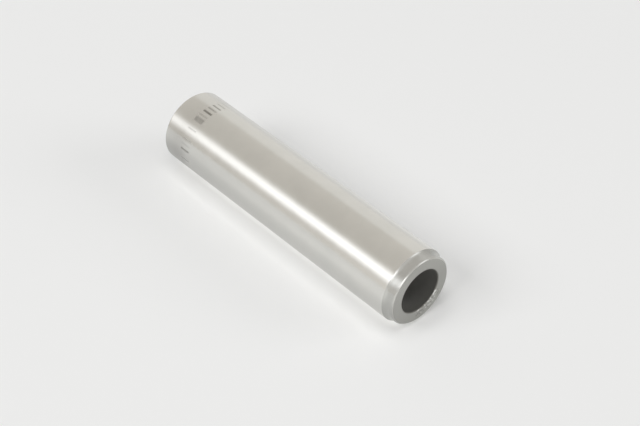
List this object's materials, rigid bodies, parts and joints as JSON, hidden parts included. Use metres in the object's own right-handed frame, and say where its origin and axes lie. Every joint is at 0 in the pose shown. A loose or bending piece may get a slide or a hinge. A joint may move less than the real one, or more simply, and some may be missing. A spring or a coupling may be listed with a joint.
{
  "type": "valve guide",
  "caption": "Ground iron valve guide sleeve: plain press-fit barrel with a short stepped nose, a concave fillet behind it and a straight through bore for the valve stem.",
  "frame": {"origin": "centre of the full-diameter end face, on which the guide stands", "axes": "+Z along the bore, towards the stepped nose; X and Y are alike, because the guide is round"},
  "size_m": [0.015, 0.015, 0.064],
  "materials": {
    "guide_iron": "barrel ground bright, nose and end faces turned"
  },
  "bodies": {
    "root": {"valve_guide": "guide_iron"}
  },
  "joints": []
}
